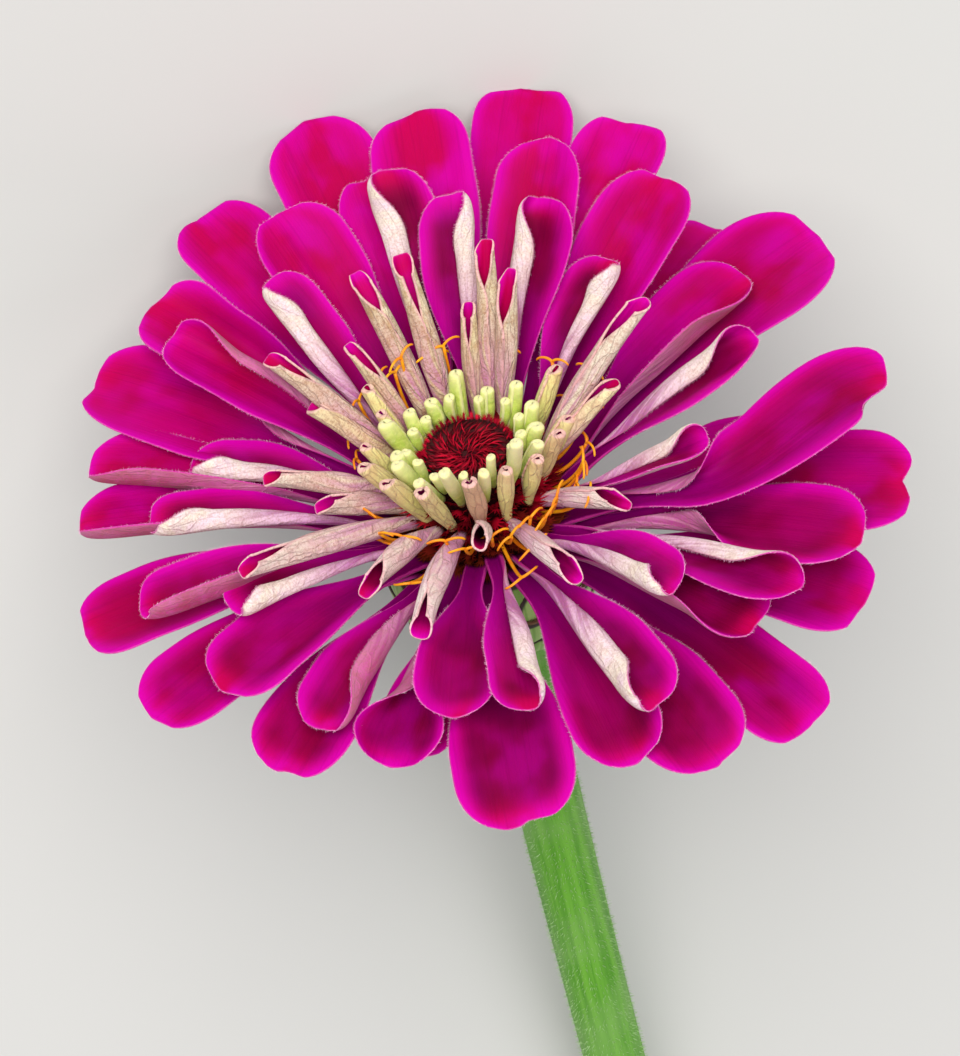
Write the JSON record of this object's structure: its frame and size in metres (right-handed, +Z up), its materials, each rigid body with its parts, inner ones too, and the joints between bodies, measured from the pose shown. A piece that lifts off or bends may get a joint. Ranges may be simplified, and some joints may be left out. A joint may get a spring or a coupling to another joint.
{
  "type": "zinnia flower",
  "caption": "Picked zinnia bloom lying on a surface: magenta rays, some still rolled, round a dark disc, with a bract cup and a cut stem.",
  "frame": {"origin": "on the surface that the flower lies on, below the middle of its box", "axes": "+Z up; the stem runs towards +Y and the bloom faces -Y and up"},
  "size_m": [0.09, 0.1598, 0.078],
  "materials": {
    "receptacle": "matte crimson chaff",
    "bud_rays": "matte yellow-green, finely hairy",
    "rolled_rays": "matte cream backs with pink veins",
    "styles": "satin orange",
    "open_rays": "velvety magenta",
    "involucre": "matte green with dark rims",
    "stem": "matte green, bristly"
  },
  "bodies": {
    "root": {"receptacle": "receptacle", "bud_rays": "bud_rays", "rolled_rays": "rolled_rays", "styles": "styles", "open_rays": "open_rays", "involucre": "involucre", "stem": "stem"}
  },
  "joints": []
}
